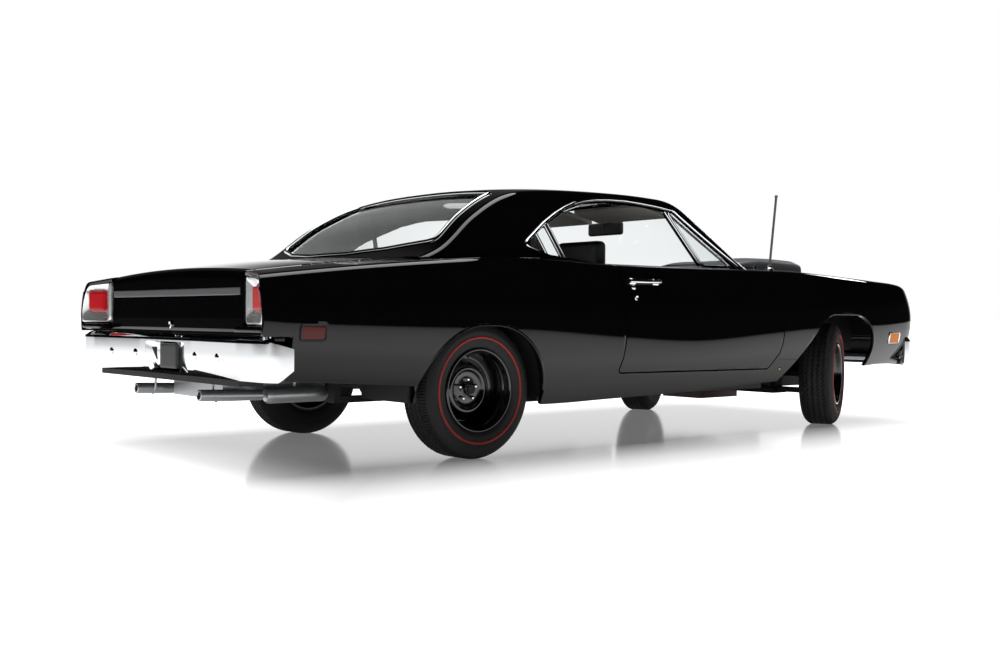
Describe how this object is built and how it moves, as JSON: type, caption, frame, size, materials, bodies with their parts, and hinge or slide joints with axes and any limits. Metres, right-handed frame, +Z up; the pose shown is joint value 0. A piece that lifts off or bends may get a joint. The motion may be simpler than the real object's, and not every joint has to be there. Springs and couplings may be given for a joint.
{
  "type": "scale model muscle car",
  "caption": "die-cast scale model of a two-door hardtop with opening doors and trunk lid, lift-off scooped hood and steering front wheels",
  "frame": {"origin": "on the ground under the middle of the car's length and width", "axes": "+X forward, +Y to the car's left, +Z up; front wheels steered 25 degrees left at rest, as in the picture"},
  "size_m": [0.2891, 0.108, 0.0793],
  "materials": {
    "body_paint": "gloss black enamel",
    "hood_paint": "satin black enamel",
    "hinge_steel": "plain steel",
    "cabin_trim": "black moulded plastic",
    "seat_vinyl": "black vinyl look",
    "chrome_trim": "bright plated plastic",
    "window_glass": "clear plastic glazing",
    "plate_dark": "blank plate, dark",
    "matte_black": "flat black",
    "lamp_glass": "clear lamp",
    "lens_red": "clear red plastic",
    "lens_amber": "clear amber plastic",
    "engine_paint": "orange-red engine enamel",
    "bare_metal": "silver",
    "wheel_paint": "black wheel enamel",
    "tyre_rubber": "black rubber"
  },
  "bodies": {
    "body": {"body_shell": "body_paint", "hood_pins": "hinge_steel", "antenna": "hinge_steel", "drive_shaft": "hinge_steel", "interior_tub": "cabin_trim", "dashboard": "cabin_trim", "steering_wheel": "cabin_trim", "cabin_mirror": "cabin_trim", "front_seat": "seat_vinyl", "rear_seat": "seat_vinyl", "front_bumper": "chrome_trim", "rear_bumper": "chrome_trim", "lamp_bezels": "chrome_trim", "windshield": "window_glass", "rear_window": "window_glass", "quarter_windows": "window_glass", "plates": "plate_dark", "grille": "matte_black", "wipers": "matte_black", "chassis": "matte_black", "air_cleaner": "matte_black", "radiator": "matte_black", "engine_bay": "matte_black", "rear_axle": "matte_black", "front_suspension": "matte_black", "headlamps": "lamp_glass", "lamp_lenses": "lens_red", "rear_markers": "lens_red", "front_markers": "lens_amber", "engine": "engine_paint", "fuel_tank": "bare_metal", "exhaust": "bare_metal"},
    "right_door": {"door_right": "body_paint", "door_hinges_right": "hinge_steel", "door_panel_right": "cabin_trim", "handle_right": "chrome_trim", "vent_right": "window_glass"},
    "left_door": {"door_left": "body_paint", "door_hinges_left": "hinge_steel", "door_panel_left": "cabin_trim", "handle_left": "chrome_trim", "vent_left": "window_glass"},
    "hood_panel": {"hood": "hood_paint", "hood_scoop": "hood_paint"},
    "lid": {"trunk_lid": "body_paint", "lid_hinges": "hinge_steel"},
    "right_knuckle": {"knuckle_right": "matte_black"},
    "left_knuckle": {"knuckle_left": "matte_black"},
    "link": {"tie_rod": "matte_black"},
    "wheel_fr": {"rim_front_right": "wheel_paint", "tyre_front_right": "tyre_rubber"},
    "wheel_fl": {"rim_front_left": "wheel_paint", "tyre_front_left": "tyre_rubber"},
    "wheel_rr": {"rim_rear_right": "wheel_paint", "tyre_rear_right": "tyre_rubber"},
    "wheel_rl": {"rim_rear_left": "wheel_paint", "tyre_rear_left": "tyre_rubber"}
  },
  "joints": [
    {"name": "right_door_swing", "type": "hinge", "parent": "body", "child": "right_door", "pos_m": [0.05485, -0.0513, 0.034], "axis": [0, 0, 1], "range_deg": [0, 60]},
    {"name": "left_door_swing", "type": "hinge", "parent": "body", "child": "left_door", "pos_m": [0.05485, 0.0513, 0.034], "axis": [0, 0, -1], "range_deg": [0, 60]},
    {"name": "lid_swing", "type": "hinge", "parent": "body", "child": "lid", "pos_m": [-0.09335, 0, 0.0513], "axis": [0, 1, 0], "range_deg": [0, 55]},
    {"name": "hood_lift", "type": "slide", "parent": "body", "child": "hood_panel", "axis": [0, 0, 1], "range_m": [0, 0.03]},
    {"name": "right_steer", "type": "hinge", "parent": "body", "child": "right_knuckle", "pos_m": [0.08685, -0.0365, 0.0182], "axis": [0, 0, 1], "range_deg": [-53, 3]},
    {"name": "left_steer", "type": "hinge", "parent": "body", "child": "left_knuckle", "pos_m": [0.08685, 0.0365, 0.0182], "axis": [0, 0, 1], "range_deg": [-53, 3]},
    {"name": "link_slide", "type": "slide", "parent": "body", "child": "link", "axis": [0, 1, 0], "range_m": [-0.0049, 0.0003]},
    {"name": "wheel_fr_spin", "type": "hinge", "parent": "right_knuckle", "child": "wheel_fr", "pos_m": [0.08917, -0.04149, 0.0182], "axis": [-0.4226, 0.9063, 0], "continuous": true},
    {"name": "wheel_fl_spin", "type": "hinge", "parent": "left_knuckle", "child": "wheel_fl", "pos_m": [0.08453, 0.04149, 0.0182], "axis": [-0.4226, 0.9063, 0], "continuous": true},
    {"name": "wheel_rr_spin", "type": "hinge", "parent": "body", "child": "wheel_rr", "pos_m": [-0.07685, -0.042, 0.0182], "axis": [0, 1, 0], "continuous": true},
    {"name": "wheel_rl_spin", "type": "hinge", "parent": "body", "child": "wheel_rl", "pos_m": [-0.07685, 0.042, 0.0182], "axis": [0, 1, 0], "continuous": true}
  ],
  "couplings": [
    {"joint": "right_steer", "follows": "left_steer", "ratio": 1},
    {"joint": "link_slide", "follows": "left_steer", "m_per_rad": 0.0052837}
  ]
}
